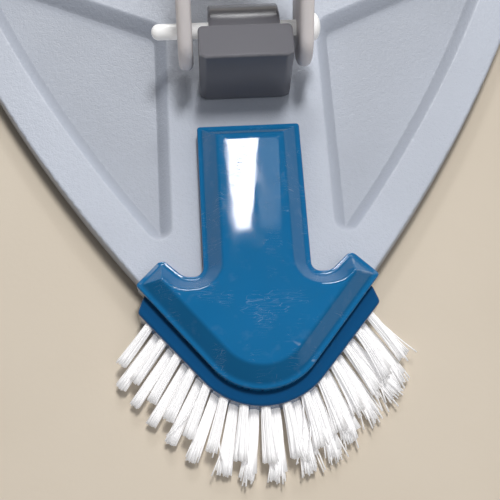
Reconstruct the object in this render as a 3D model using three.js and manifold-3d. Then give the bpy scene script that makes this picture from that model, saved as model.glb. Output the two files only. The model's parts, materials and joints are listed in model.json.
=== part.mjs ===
// Triangular scrubber head with a corner brush and a swivelling pole fork.
// Millimetres. +X is right, +Y is the back, away from the brush, and +Z is up.
// The origin lies on the underside, straight below the fork's pin.

import * as THREE from "three";
import { ConvexGeometry } from "three/addons/geometries/ConvexGeometry.js";
import { mergeVertices } from "three/addons/utils/BufferGeometryUtils.js";
import Module from "manifold-3d";

const wasm = await Module();
wasm.setup();

// ---- driving dimensions ----

const GAP = 0.3; // between touching pieces
const WALL = 2.2; // moulded wall

// Plate: a triangle with bulged sides. Its front corner is cut off for the brush.
const SIDE_RADIUS = 416;
const FRONT_CORNER = new THREE.Vector2(0, -100);
const REAR_CORNER = new THREE.Vector2(103, 72);
const CORNER_RADIUS = 18;
const NOSE_Y = -69.2; // the plate ends here, the brush block begins
const STRIP_TOP = 1.2; // hook strips lie on the floor at z = 0
const PLATE_BOTTOM = STRIP_TOP + GAP;
const PLATE_TOP = 8;
const COVER_TOP = 3.5; // top of the bottom plate
const ROOF_BOTTOM = 6; // underside of the rim and the arms
const PANEL_FLOOR = 5; // the three panels lie lower than the rim
const RIM = 10; // width of the rim at its top
const SLOPE = 4.4; // width of a panel's sloped wall
const ARM = 21.3; // half the width of an arm at its top
const ARMS_CENTRE_Y = 27.5; // where the three arms meet
const REAR_ARM_ANGLE = THREE.MathUtils.degToRad(24); // from the X axis

// Brush cap: a neck that widens into a head with two wings.
const CAP_LIP = 13;
const CAP_TOP = 17;
const CAP_BEVEL = 5;
const NECK = 14; // half width
const NECK_END_Y = -22.5;
const WING_PEAK = new THREE.Vector2(24.5, -60.6);
const WING_CORNER = new THREE.Vector2(31.5, -67.4);
const NOTCH = { x: 17.7, y: -62.1, radius: 3.65 };
const FRONT_CENTRE_Y = -79.7; // centre of the rounded front
const CAP_FRONT_RADIUS = 16.5;

// Brush block and its tufts.
const BLOCK_FRONT_RADIUS = 20;
const BLOCK_TOP = 9.7;
const BLOCK_CORNER = new THREE.Vector2(31.3, -74);
const BLOCK_REAR = new THREE.Vector2(29.7, NOSE_Y - GAP);
const TUFT_PITCH = 5.4;
const TUFT_FAN = THREE.MathUtils.degToRad(38); // the outermost tuft's turn from straight ahead
const TUFT_ROOT_RADIUS = 1.5;
const TUFT_TIP_RADIUS = 1.55;
const HOLE_DEPTH = 3;
const HOLE_RADIUS = 1.8;
const ROWS = [
  { name: "tuft_upper", count: 15, z: 7.3, length: 14.4, droop: THREE.MathUtils.degToRad(9) },
  { name: "tuft_lower", count: 14, z: 4.2, length: 18, droop: THREE.MathUtils.degToRad(5) },
];

// Knuckle, which turns about the vertical axis through the origin.
const KNUCKLE_BOTTOM = PLATE_TOP + GAP;
const KNUCKLE_TOP = 30;
const KNUCKLE_FRONT_Y = -12;
const KNUCKLE_STEP_Y = -2; // behind this the knuckle is narrower and rounded
const KNUCKLE_BACK_Y = 12;
const KNUCKLE_WIDE = 12.6; // half widths
const KNUCKLE_NARROW = 9.6;
const KNUCKLE_CHAMFER = 1.5;
const SPIGOT_RADIUS = 7;
const SPIGOT_BOTTOM = 4.7;
const HUB_RADIUS = 12;
const HUB_BOTTOM = 4.8;
const WASHER_RADIUS = 10.5;

// Fork and its pin, which runs along X.
const PIN_Z = 24.5;
const PIN_RADIUS = 2.15;
const PIN_LEFT = -25;
const PIN_RIGHT = 20.7;
const PIN_HEAD_RADIUS = 3.9;
const EAR_INSIDE = 14;
const EAR_OUTSIDE = 18;
const EAR_RADIUS = 10.5;
const FORK_LEAN = THREE.MathUtils.degToRad(38); // leans back at rest
const SLOT_TOP = 24; // distances along the fork from its pin
const SOCKET_BOTTOM = 28;
const SOCKET_FLOOR = 38;
const SOCKET_TOP = 80;
const SOCKET_RADIUS = 14;
const SOCKET_BORE = 11;

// Screws.
const SHANK = 1.2;
const SCREW_HOLE = 1.5;
const SCREW_HEAD = 2.6;
const BOSS_RADIUS = 3.5;
const NECK_SCREWS = [new THREE.Vector2(0, -34), new THREE.Vector2(0, -58)];
const BRUSH_SCREWS = [new THREE.Vector2(-11, -76), new THREE.Vector2(11, -76)];
const SHELL_SCREWS = [
  new THREE.Vector2(-17.5, -56),
  new THREE.Vector2(17.5, -56),
  new THREE.Vector2(-76.7, 61.7),
  new THREE.Vector2(76.7, 61.7),
  new THREE.Vector2(0, 40),
];

// Hook strips.
const STRIP_WIDTH = 25;
const FRONT_STRIP_Y = [-62, 22];
const REAR_STRIP_REACH = [28, 76]; // along the arm, from the arms' centre

// ---- materials ----

const plastic = (name, color, roughness) =>
  new THREE.MeshStandardMaterial({ name, color, roughness, metalness: 0 });

const greyPlastic = plastic("plate_grey", 0xbcc4cf, 0.65);
const coverPlastic = plastic("cover_grey", 0x9da5b0, 0.7);
const bluePlastic = plastic("cap_blue", 0x266ca0, 0.3);
const darkBluePlastic = plastic("block_blue", 0x125287, 0.4);
const darkPlastic = plastic("knuckle_grey", 0x4b5058, 0.35);
const whitePlastic = plastic("fork_white", 0xdcdad6, 0.4);
const pinPlastic = plastic("pin_white", 0xeceae6, 0.35);
const bristle = plastic("bristle_white", 0xe9e9e6, 0.5);
const hook = plastic("hook_black", 0x26282b, 0.95);
const steel = new THREE.MeshStandardMaterial({
  name: "screw_steel",
  color: 0xa9abad,
  roughness: 0.35,
  metalness: 1,
});

// ---- solids ----

function solid(geometry) {
  const bare = geometry.clone();
  bare.deleteAttribute("normal");
  bare.deleteAttribute("uv");
  const merged = mergeVertices(bare, 1e-4);
  return new wasm.Manifold(
    new wasm.Mesh({
      numProp: 3,
      vertProperties: merged.attributes.position.array,
      triVerts: new Uint32Array(merged.index.array),
    }),
  );
}

function geometryOf(manifold) {
  const made = manifold.getMesh();
  const geometry = new THREE.BufferGeometry();
  geometry.setAttribute("position", new THREE.BufferAttribute(made.vertProperties, 3));
  geometry.setIndex(new THREE.BufferAttribute(made.triVerts, 1));
  const flat = geometry.toNonIndexed();
  flat.computeVertexNormals();
  return flat;
}

function extrudeUp(shape, low, high, options = {}) {
  const bevel = options.bevelThickness ?? 0;
  const geometry = new THREE.ExtrudeGeometry(shape, {
    depth: high - low - 2 * bevel,
    curveSegments: 12,
    bevelEnabled: bevel > 0,
    ...options,
  });
  return geometry.translate(0, 0, low + bevel);
}

// A shape drawn in (Y, Z), pulled along X on both sides of the middle.
function extrudeAcross(shape, halfWidth) {
  const geometry = new THREE.ExtrudeGeometry(shape, {
    depth: 2 * halfWidth,
    curveSegments: 10,
    bevelEnabled: false,
  });
  geometry.translate(0, 0, -halfWidth);
  const turn = new THREE.Matrix4().makeBasis(
    new THREE.Vector3(0, 1, 0),
    new THREE.Vector3(0, 0, 1),
    new THREE.Vector3(1, 0, 0),
  );
  return geometry.applyMatrix4(turn);
}

function cylinderUp(radius, low, high, x = 0, y = 0, topRadius = radius) {
  const sides = radius < NOTCH.radius ? 12 : 28;
  const geometry = new THREE.CylinderGeometry(topRadius, radius, high - low, sides);
  return geometry.rotateX(Math.PI / 2).translate(x, y, (low + high) / 2);
}

function boxBetween(low, high) {
  const size = new THREE.Vector3().subVectors(high, low);
  const centre = new THREE.Vector3().addVectors(low, high).multiplyScalar(0.5);
  return new THREE.BoxGeometry(size.x, size.y, size.z).translate(centre.x, centre.y, centre.z);
}

function latheUp(points, segments = 24) {
  const profile = points.map(([radius, z]) => new THREE.Vector2(radius, z));
  return new THREE.LatheGeometry(profile, segments).rotateX(Math.PI / 2);
}

// Everything in front of a line along X.
function frontOf(y) {
  const reach = 150;
  return solid(boxBetween(new THREE.Vector3(-reach, -reach, -5), new THREE.Vector3(reach, y, 40)));
}

const mirrored = (point) => new THREE.Vector2(-point.x, point.y);
const angleFrom = (centre, point) => Math.atan2(point.y - centre.y, point.x - centre.x);

// A closed outline through the points with rounded corners.
function roundedShape(points, radius) {
  const shape = new THREE.Shape();
  points.forEach((corner, i) => {
    const before = points[(i + points.length - 1) % points.length].clone().sub(corner);
    const after = points[(i + 1) % points.length].clone().sub(corner);
    const half = Math.abs(before.angleTo(after)) / 2;
    const room = 0.45 * Math.min(before.length(), after.length());
    const setback = Math.min(radius / Math.tan(half), room);
    const enter = corner.clone().addScaledVector(before.normalize(), setback);
    const leave = corner.clone().addScaledVector(after.normalize(), setback);
    if (i === 0) shape.moveTo(enter.x, enter.y);
    else shape.lineTo(enter.x, enter.y);
    shape.quadraticCurveTo(corner.x, corner.y, leave.x, leave.y);
  });
  shape.closePath();
  return shape;
}

// ---- plate outline ----

// The centre of the bulged side that runs from one corner to the next, counter-clockwise.
function sideCentre(from, to) {
  const middle = from.clone().add(to).multiplyScalar(0.5);
  const chord = to.clone().sub(from);
  const height = Math.sqrt(SIDE_RADIUS ** 2 - chord.lengthSq() / 4);
  const inward = new THREE.Vector2(-chord.y, chord.x).normalize();
  return middle.addScaledVector(inward, height);
}

const RIGHT_CENTRE = sideCentre(FRONT_CORNER, REAR_CORNER);
const LEFT_CENTRE = mirrored(RIGHT_CENTRE);
const REAR_CENTRE = sideCentre(REAR_CORNER, mirrored(REAR_CORNER));

// The centre of the arc that rounds the rear right corner and touches both sides.
function cornerCentre() {
  const middle = RIGHT_CENTRE.clone().add(REAR_CENTRE).multiplyScalar(0.5);
  const span = REAR_CENTRE.clone().sub(RIGHT_CENTRE);
  const height = Math.sqrt((SIDE_RADIUS - CORNER_RADIUS) ** 2 - span.lengthSq() / 4);
  const outward = new THREE.Vector2(-span.y, span.x).normalize();
  return middle.addScaledVector(outward, height);
}

function plateOutline(inset) {
  const radius = SIDE_RADIUS - inset;
  const right = cornerCentre();
  const left = mirrored(right);
  const frontY = RIGHT_CENTRE.y - Math.sqrt(radius ** 2 - RIGHT_CENTRE.x ** 2);
  const front = new THREE.Vector2(0, frontY);
  const shape = new THREE.Shape();
  const arc = (centre, size, from, to) =>
    shape.absarc(centre.x, centre.y, size, angleFrom(centre, from), angleFrom(centre, to), false);
  const turn = (centre, first, second) =>
    shape.absarc(centre.x, centre.y, CORNER_RADIUS - inset, first, second, false);
  arc(RIGHT_CENTRE, radius, front, right);
  turn(right, angleFrom(RIGHT_CENTRE, right), angleFrom(REAR_CENTRE, right));
  arc(REAR_CENTRE, radius, right, left);
  turn(left, angleFrom(REAR_CENTRE, left), angleFrom(LEFT_CENTRE, left));
  arc(LEFT_CENTRE, radius, left, front);
  return shape;
}

// ---- recessed panels ----

// Where a ray from a point leaves the circle of a side.
function meetSide(point, direction, centre, radius) {
  const offset = point.clone().sub(centre);
  const along = offset.dot(direction);
  const reach = -along + Math.sqrt(along ** 2 - offset.lengthSq() + radius ** 2);
  return point.clone().addScaledVector(direction, reach);
}

function sidePoints(centre, radius, from, to, count) {
  const points = [];
  const first = angleFrom(centre, from);
  const last = angleFrom(centre, to);
  for (let i = 1; i < count; i++) {
    const angle = first + ((last - first) * i) / count;
    const spoke = new THREE.Vector2(Math.cos(angle), Math.sin(angle));
    points.push(centre.clone().addScaledVector(spoke, radius));
  }
  return points;
}

// The foot of the right panel's walls: the front arm, the rear right arm and the right rim.
function rightPanel() {
  const foot = ARM + SLOPE;
  const along = new THREE.Vector2(Math.cos(REAR_ARM_ANGLE), Math.sin(REAR_ARM_ANGLE));
  const innerY =
    ARMS_CENTRE_Y + foot * Math.tan(REAR_ARM_ANGLE) - foot / Math.cos(REAR_ARM_ANGLE);
  const inner = new THREE.Vector2(foot, innerY);
  const radius = SIDE_RADIUS - RIM - SLOPE;
  const front = meetSide(inner, new THREE.Vector2(0, -1), RIGHT_CENTRE, radius);
  const rear = meetSide(inner, along, RIGHT_CENTRE, radius);
  return [inner, front, ...sidePoints(RIGHT_CENTRE, radius, front, rear, 6), rear];
}

// The foot of the rear panel's walls: both rear arms and the rear rim.
function rearPanel() {
  const foot = ARM + SLOPE;
  const along = new THREE.Vector2(Math.cos(REAR_ARM_ANGLE), Math.sin(REAR_ARM_ANGLE));
  const inner = new THREE.Vector2(0, ARMS_CENTRE_Y + foot / Math.cos(REAR_ARM_ANGLE));
  const radius = SIDE_RADIUS - RIM - SLOPE;
  const right = meetSide(inner, along, REAR_CENTRE, radius);
  const left = mirrored(right);
  return [inner, right, ...sidePoints(REAR_CENTRE, radius, right, left, 4), left];
}

function panelOutlines() {
  const right = rightPanel();
  const left = right.map(mirrored).reverse();
  return [right, left, rearPanel()];
}

// A cutter that is the foot outline at the panel's floor and grows to the top edge.
function panelCutter(outline) {
  const rise = PLATE_TOP - PANEL_FLOOR;
  const cutter = extrudeUp(roundedShape(outline, 5), PANEL_FLOOR, PLATE_TOP + rise + 1, {
    bevelThickness: rise,
    bevelSize: SLOPE,
    bevelSegments: 1,
    curveSegments: 5,
  });
  return solid(cutter);
}

function panelBlock(outline) {
  const block = extrudeUp(roundedShape(outline, 5), ROOF_BOTTOM - 4, ROOF_BOTTOM + 3, {
    bevelThickness: 1,
    bevelSize: SLOPE,
    bevelSegments: 1,
    curveSegments: 5,
  });
  return solid(block);
}

// ---- plate pieces ----

function shellCavity() {
  let cavity = solid(extrudeUp(plateOutline(WALL), COVER_TOP, ROOF_BOTTOM));
  panelOutlines().forEach((outline) => {
    cavity = cavity.subtract(panelBlock(outline));
  });
  SHELL_SCREWS.forEach((spot) => {
    cavity = cavity.subtract(solid(cylinderUp(BOSS_RADIUS, 2, 7, spot.x, spot.y)));
  });
  cavity = cavity.subtract(solid(cylinderUp(HUB_RADIUS, HUB_BOTTOM, 7)));
  const washerRoom = solid(cylinderUp(HUB_RADIUS, COVER_TOP, HUB_BOTTOM));
  return cavity.add(washerRoom).subtract(frontOf(NOSE_Y + WALL));
}

function topShell() {
  let shell = solid(
    extrudeUp(plateOutline(0), PLATE_BOTTOM, PLATE_TOP, {
      bevelThickness: 0.6,
      bevelSize: 0.6,
      bevelOffset: -0.6,
      bevelSegments: 1,
    }),
  );
  const rebate = solid(extrudeUp(plateOutline(WALL), PLATE_BOTTOM - 1, COVER_TOP + GAP));
  shell = shell.subtract(rebate.subtract(frontOf(NOSE_Y + WALL)));
  shell = shell.subtract(shellCavity());
  panelOutlines().forEach((outline) => {
    shell = shell.subtract(panelCutter(outline));
  });
  shell = shell.subtract(solid(cylinderUp(SPIGOT_RADIUS + GAP, 0, 10)));
  NECK_SCREWS.forEach((spot) => {
    shell = shell.subtract(solid(cylinderUp(SCREW_HOLE, 4, 10, spot.x, spot.y)));
  });
  SHELL_SCREWS.forEach((spot) => {
    shell = shell.subtract(solid(cylinderUp(SCREW_HOLE, 3, 7, spot.x, spot.y)));
  });
  return geometryOf(shell.subtract(frontOf(NOSE_Y)));
}

function bottomPlate() {
  let plate = solid(extrudeUp(plateOutline(WALL + GAP), PLATE_BOTTOM, COVER_TOP));
  plate = plate.subtract(frontOf(NOSE_Y + WALL + GAP));
  plate = plate.subtract(solid(cylinderUp(WASHER_RADIUS + 1, 0, 5)));
  SHELL_SCREWS.forEach((spot) => {
    const hole = solid(cylinderUp(SCREW_HOLE, 0, 5, spot.x, spot.y));
    const counterbore = solid(cylinderUp(SCREW_HEAD + GAP, 0, 2.9, spot.x, spot.y));
    plate = plate.subtract(hole).subtract(counterbore);
  });
  return geometryOf(plate);
}

function hookStrip(length) {
  const x = STRIP_WIDTH / 2;
  const y = length / 2;
  const corners = [
    new THREE.Vector2(-x, -y),
    new THREE.Vector2(x, -y),
    new THREE.Vector2(x, y),
    new THREE.Vector2(-x, y),
  ];
  return extrudeUp(roundedShape(corners, 3), 0, STRIP_TOP, { curveSegments: 4 });
}

// ---- brush cap ----

// A corner moved inward by the same distance from both edges that meet there.
function insetCorner(corner, firstNormal, secondNormal, inset) {
  const share = inset / (1 + firstNormal.dot(secondNormal));
  return corner.clone().addScaledVector(firstNormal.clone().add(secondNormal), -share);
}

// The angle, below the X axis, at which the straight edge from a corner touches the front arc.
function touchAngle(corner, radius) {
  const centre = new THREE.Vector2(0, FRONT_CENTRE_Y);
  const reach = corner.distanceTo(centre);
  return angleFrom(centre, corner) - Math.acos(radius / reach);
}

function frontArc(radius, from, to, steps) {
  const points = [];
  for (let i = 0; i <= steps; i++) {
    const angle = from + ((to - from) * i) / steps;
    points.push(
      new THREE.Vector2(radius * Math.cos(angle), FRONT_CENTRE_Y + radius * Math.sin(angle)),
    );
  }
  return points;
}

// The cap's head without its neck, a convex outline.
function headOutline(inset) {
  const touch = touchAngle(WING_CORNER, CAP_FRONT_RADIUS);
  const frontNormal = new THREE.Vector2(Math.cos(touch), Math.sin(touch));
  const wing = WING_CORNER.clone().sub(WING_PEAK).normalize();
  const wingNormal = new THREE.Vector2(-wing.y, wing.x);
  const corner = insetCorner(WING_CORNER, wingNormal, frontNormal, inset);
  const peak = WING_PEAK.clone().addScaledVector(wingNormal, -inset);
  const arc = frontArc(CAP_FRONT_RADIUS - inset, touch, -Math.PI - touch, 14);
  return [peak, corner, ...arc, mirrored(corner), mirrored(peak)];
}

function neckOutline(inset) {
  const side = NECK - inset;
  return [
    new THREE.Vector2(side, NECK_END_Y - inset),
    new THREE.Vector2(-side, NECK_END_Y - inset),
    new THREE.Vector2(-side, FRONT_CENTRE_Y),
    new THREE.Vector2(side, FRONT_CENTRE_Y),
  ];
}

// A straight wall up to the lip, then a bevel up to the top.
function bevelledBlock(outline, inset, low, lip, top) {
  const points = [];
  const ring = (spots, z) => spots.forEach((p) => points.push(new THREE.Vector3(p.x, p.y, z)));
  ring(outline(inset), low);
  ring(outline(inset), lip);
  ring(outline(inset + CAP_BEVEL), top);
  return solid(new ConvexGeometry(points));
}

function notchCutter(side, wall) {
  const x = side * NOTCH.x;
  const radius = NOTCH.radius + wall;
  const lip = CAP_LIP - wall;
  const top = CAP_TOP - wall;
  const straight = solid(cylinderUp(radius, 0, lip, x, NOTCH.y));
  const bevel = solid(cylinderUp(radius, lip, top, x, NOTCH.y, radius + CAP_BEVEL));
  const above = solid(cylinderUp(radius + CAP_BEVEL, top, top + 2, x, NOTCH.y));
  return straight.add(bevel).add(above);
}

function capBody(wall) {
  const low = wall ? PLATE_TOP - 1 : PLATE_TOP + GAP;
  const head = bevelledBlock(headOutline, wall, low, CAP_LIP - wall, CAP_TOP - wall);
  const neck = bevelledBlock(neckOutline, wall, low, CAP_LIP - wall, CAP_TOP - wall);
  const body = head.add(neck);
  return body.subtract(notchCutter(-1, wall)).subtract(notchCutter(1, wall));
}

function brushCap() {
  const overBlock = solid(
    boxBetween(new THREE.Vector3(-60, -120, 0), new THREE.Vector3(60, NOSE_Y, BLOCK_TOP + GAP)),
  );
  let cap = capBody(0).subtract(capBody(WALL));
  const screws = [...NECK_SCREWS, ...BRUSH_SCREWS];
  screws.forEach((spot) => {
    const boss = cylinderUp(BOSS_RADIUS, PLATE_TOP + GAP, CAP_TOP - 1, spot.x, spot.y);
    cap = cap.add(solid(boss));
  });
  screws.forEach((spot) => {
    cap = cap.subtract(solid(cylinderUp(SCREW_HOLE, 0, 14.5, spot.x, spot.y)));
  });
  return geometryOf(cap.subtract(overBlock));
}

// ---- brush ----

// The point on the block's front at a path length from the middle.
function frontPoint(along) {
  const touch = touchAngle(BLOCK_CORNER, BLOCK_FRONT_RADIUS);
  const halfTurn = Math.PI / 2 + touch;
  const onArc = BLOCK_FRONT_RADIUS * halfTurn;
  const side = Math.sign(along);
  const turn = Math.min(Math.abs(along) / BLOCK_FRONT_RADIUS, halfTurn) * side;
  const root = new THREE.Vector2(
    BLOCK_FRONT_RADIUS * Math.sin(turn),
    FRONT_CENTRE_Y - BLOCK_FRONT_RADIUS * Math.cos(turn),
  );
  const beyond = Math.max(Math.abs(along) - onArc, 0);
  root.x += beyond * Math.cos(halfTurn) * side;
  root.y += beyond * Math.sin(halfTurn);
  return root;
}

// Every tuft of one row: its root point and the matrix that turns +Y along the tuft.
function rowPlaces(row) {
  const places = [];
  for (let i = 0; i < row.count; i++) {
    const step = i - (row.count - 1) / 2;
    const root = frontPoint(step * TUFT_PITCH);
    const outermost = (ROWS[0].count - 1) / 2;
    const heading = TUFT_FAN * Math.sin(((step / outermost) * Math.PI) / 2);
    const direction = new THREE.Vector3(
      Math.sin(heading) * Math.cos(row.droop),
      -Math.cos(heading) * Math.cos(row.droop),
      -Math.sin(row.droop),
    );
    places.push({ root: new THREE.Vector3(root.x, root.y, row.z), direction });
  }
  return places;
}

function rod(place, from, to, startRadius, endRadius, sides) {
  const geometry = new THREE.CylinderGeometry(endRadius, startRadius, to - from, sides);
  geometry.translate(0, (from + to) / 2, 0);
  const up = new THREE.Vector3(0, 1, 0);
  geometry.applyQuaternion(new THREE.Quaternion().setFromUnitVectors(up, place.direction));
  return geometry.translate(place.root.x, place.root.y, place.root.z);
}

function brushBlock() {
  const touch = touchAngle(BLOCK_CORNER, BLOCK_FRONT_RADIUS);
  const arc = frontArc(BLOCK_FRONT_RADIUS, touch, -Math.PI - touch, 16);
  const outline = [BLOCK_REAR, BLOCK_CORNER, ...arc, mirrored(BLOCK_CORNER), mirrored(BLOCK_REAR)];
  const shape = new THREE.Shape(outline.reverse());
  let block = solid(
    extrudeUp(shape, PLATE_BOTTOM, BLOCK_TOP, {
      bevelThickness: 0.5,
      bevelSize: 0.5,
      bevelOffset: -0.5,
      bevelSegments: 1,
    }),
  );
  ROWS.forEach((row) => {
    rowPlaces(row).forEach((place) => {
      const hole = rod(place, -HOLE_DEPTH, 3, HOLE_RADIUS, HOLE_RADIUS, 12);
      block = block.subtract(solid(hole));
    });
  });
  BRUSH_SCREWS.forEach((spot) => {
    const hole = solid(cylinderUp(SCREW_HOLE, 0, 12, spot.x, spot.y));
    const counterbore = solid(cylinderUp(SCREW_HEAD + GAP, 0, 3.1, spot.x, spot.y));
    block = block.subtract(hole).subtract(counterbore);
  });
  return geometryOf(block);
}

function tuft(place, length) {
  return rod(place, GAP - HOLE_DEPTH, length, TUFT_ROOT_RADIUS, TUFT_TIP_RADIUS, 8);
}

// ---- swivel ----

function knuckle() {
  const step = KNUCKLE_CHAMFER;
  const plan = new THREE.Shape([
    new THREE.Vector2(step - KNUCKLE_WIDE, KNUCKLE_FRONT_Y),
    new THREE.Vector2(KNUCKLE_WIDE - step, KNUCKLE_FRONT_Y),
    new THREE.Vector2(KNUCKLE_WIDE, KNUCKLE_FRONT_Y + step),
    new THREE.Vector2(KNUCKLE_WIDE, KNUCKLE_STEP_Y),
    new THREE.Vector2(-KNUCKLE_WIDE, KNUCKLE_STEP_Y),
    new THREE.Vector2(-KNUCKLE_WIDE, KNUCKLE_FRONT_Y + step),
  ]);
  const back = new THREE.Shape();
  const radius = KNUCKLE_BACK_Y - KNUCKLE_STEP_Y;
  back.moveTo(KNUCKLE_FRONT_Y + 2, KNUCKLE_BOTTOM);
  back.lineTo(KNUCKLE_BACK_Y, KNUCKLE_BOTTOM);
  back.lineTo(KNUCKLE_BACK_Y, KNUCKLE_TOP - radius);
  back.absarc(KNUCKLE_STEP_Y, KNUCKLE_TOP - radius, radius, 0, Math.PI / 2, false);
  back.lineTo(KNUCKLE_FRONT_Y + 2, KNUCKLE_TOP);
  back.closePath();
  const pinBore = new THREE.CylinderGeometry(PIN_RADIUS + GAP, PIN_RADIUS + GAP, 40, 24);
  pinBore.rotateZ(Math.PI / 2).translate(0, 0, PIN_Z);
  const body = solid(extrudeUp(plan, KNUCKLE_BOTTOM, KNUCKLE_TOP))
    .add(solid(extrudeAcross(back, KNUCKLE_NARROW)))
    .add(solid(cylinderUp(SPIGOT_RADIUS, SPIGOT_BOTTOM, KNUCKLE_BOTTOM + 1)))
    .subtract(solid(pinBore))
    .subtract(solid(cylinderUp(2.3, 0, 19)));
  return geometryOf(body);
}

function swivelWasher() {
  const low = 3.4;
  const high = 4.4;
  const profile = [
    [2.3, low],
    [WASHER_RADIUS, low],
    [WASHER_RADIUS, high],
    [2.3, high],
    [2.3, low],
  ];
  return latheUp(profile);
}

function screw(headBottom, headHeight, headRadius, shankRadius, tip) {
  const neck = headBottom + headHeight;
  const profile = [
    [0, headBottom],
    [headRadius - 0.3, headBottom],
    [headRadius, headBottom + 0.3],
    [headRadius, neck],
    [shankRadius, neck],
    [shankRadius, tip - 1],
    [0, tip],
  ];
  return latheUp(profile, 10);
}

// ---- fork ----

// Two ears that join in a bridge, seen from the front as (X, distance from the pin).
function forkFront() {
  const shape = new THREE.Shape();
  const shoulder = 16;
  const slotStraight = 14;
  shape.moveTo(EAR_INSIDE, -EAR_RADIUS);
  shape.lineTo(EAR_OUTSIDE, -EAR_RADIUS);
  shape.lineTo(EAR_OUTSIDE, shoulder);
  shape.quadraticCurveTo(EAR_OUTSIDE, SOCKET_BOTTOM, SOCKET_RADIUS - 1, SOCKET_FLOOR);
  shape.lineTo(1 - SOCKET_RADIUS, SOCKET_FLOOR);
  shape.quadraticCurveTo(-EAR_OUTSIDE, SOCKET_BOTTOM, -EAR_OUTSIDE, shoulder);
  shape.lineTo(-EAR_OUTSIDE, -EAR_RADIUS);
  shape.lineTo(-EAR_INSIDE, -EAR_RADIUS);
  shape.lineTo(-EAR_INSIDE, slotStraight);
  const rise = SLOT_TOP - slotStraight;
  shape.absellipse(0, slotStraight, EAR_INSIDE, rise, Math.PI, 0, true);
  shape.closePath();
  const depth = 4 * EAR_RADIUS;
  const geometry = new THREE.ExtrudeGeometry(shape, {
    depth,
    curveSegments: 12,
    bevelEnabled: false,
  });
  return geometry.translate(0, 0, -depth / 2).rotateX(Math.PI / 2);
}

// The ears' round ends and the flare up to the socket, seen from the side.
function forkSide() {
  const shape = new THREE.Shape();
  shape.absarc(0, 0, EAR_RADIUS, Math.PI, 2 * Math.PI, false);
  shape.lineTo(EAR_RADIUS, SLOT_TOP - 4);
  shape.lineTo(SOCKET_RADIUS - 1, SOCKET_FLOOR);
  shape.lineTo(1 - SOCKET_RADIUS, SOCKET_FLOOR);
  shape.lineTo(-EAR_RADIUS, SLOT_TOP - 4);
  shape.closePath();
  return extrudeAcross(shape, EAR_OUTSIDE + 1);
}

function socket() {
  const taper = 8;
  return latheUp(
    [
      [0, SOCKET_BOTTOM],
      [SOCKET_RADIUS - 4, SOCKET_BOTTOM],
      [SOCKET_RADIUS, SOCKET_BOTTOM + taper],
      [SOCKET_RADIUS, SOCKET_TOP],
      [SOCKET_BORE, SOCKET_TOP],
      [SOCKET_BORE, SOCKET_FLOOR],
      [0, SOCKET_FLOOR],
    ],
    32,
  );
}

function fork() {
  const bore = new THREE.CylinderGeometry(PIN_RADIUS + GAP, PIN_RADIUS + GAP, 60, 24);
  const pole = cylinderUp(SOCKET_BORE, SOCKET_FLOOR, SOCKET_TOP + 5);
  const body = solid(forkFront())
    .intersect(solid(forkSide()))
    .add(solid(socket()))
    .subtract(solid(bore.rotateZ(Math.PI / 2)))
    .subtract(solid(pole));
  return geometryOf(body);
}

function forkPin() {
  const head = EAR_OUTSIDE + GAP;
  const profile = [
    [0, PIN_LEFT],
    [PIN_RADIUS - 1, PIN_LEFT + 0.3],
    [PIN_RADIUS, PIN_LEFT + 1.4],
    [PIN_RADIUS, head],
    [PIN_HEAD_RADIUS, head],
    [PIN_HEAD_RADIUS - 0.5, head + 1],
    [PIN_HEAD_RADIUS - 1.8, PIN_RIGHT - 0.2],
    [0, PIN_RIGHT],
  ];
  return latheUp(profile).rotateY(Math.PI / 2);
}

// ---- assembly ----

const head = new THREE.Group();

function place(parent, name, geometry, material, x = 0, y = 0, turn = 0) {
  const mesh = new THREE.Mesh(geometry, material);
  mesh.name = name;
  mesh.position.set(x, y, 0);
  mesh.rotation.z = turn;
  parent.add(mesh);
  return mesh;
}

place(head, "top_shell", topShell(), greyPlastic);
place(head, "bottom_plate", bottomPlate(), coverPlastic);

const [stripFront, stripBack] = FRONT_STRIP_Y;
const middleOfStrip = (stripFront + stripBack) / 2;
place(head, "hook_strip_front", hookStrip(stripBack - stripFront), hook, 0, middleOfStrip);

const [reachStart, reachEnd] = REAR_STRIP_REACH;
for (const [name, side] of [["hook_strip_left", -1], ["hook_strip_right", 1]]) {
  const middle = (reachStart + reachEnd) / 2;
  const x = side * middle * Math.cos(REAR_ARM_ANGLE);
  const y = ARMS_CENTRE_Y + middle * Math.sin(REAR_ARM_ANGLE);
  const turn = side * (REAR_ARM_ANGLE - Math.PI / 2);
  place(head, name, hookStrip(reachEnd - reachStart), hook, x, y, turn);
}

place(head, "brush_cap", brushCap(), bluePlastic);
place(head, "brush_block", brushBlock(), darkBluePlastic);
ROWS.forEach((row) => {
  rowPlaces(row).forEach((spot, i) => {
    place(head, `${row.name}_${i + 1}`, tuft(spot, row.length), bristle);
  });
});

const HEAD_HEIGHT = 1.2;
SHELL_SCREWS.forEach((spot, i) => {
  const made = screw(1.6, HEAD_HEIGHT, SCREW_HEAD, SHANK, 6.7);
  place(head, `shell_screw_${i + 1}`, made, steel, spot.x, spot.y);
});
NECK_SCREWS.forEach((spot, i) => {
  const low = ROOF_BOTTOM - GAP - HEAD_HEIGHT;
  place(head, `cap_screw_${i + 1}`, screw(low, HEAD_HEIGHT, SCREW_HEAD, SHANK, 14), steel, spot.x, spot.y);
});
BRUSH_SCREWS.forEach((spot, i) => {
  const made = screw(1.6, HEAD_HEIGHT, SCREW_HEAD, SHANK, 14);
  place(head, `brush_screw_${i + 1}`, made, steel, spot.x, spot.y);
});

const swivel = new THREE.Group();
place(swivel, "knuckle", knuckle(), darkPlastic);
place(swivel, "swivel_washer", swivelWasher(), steel);
place(swivel, "swivel_screw", screw(1.7, 1.4, 4.2, 2, 18), steel);

const tilt = new THREE.Group();
tilt.position.z = PIN_Z;
tilt.rotation.x = -FORK_LEAN;
place(tilt, "fork", fork(), whitePlastic);
place(tilt, "fork_pin", forkPin(), pinPlastic);

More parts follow.
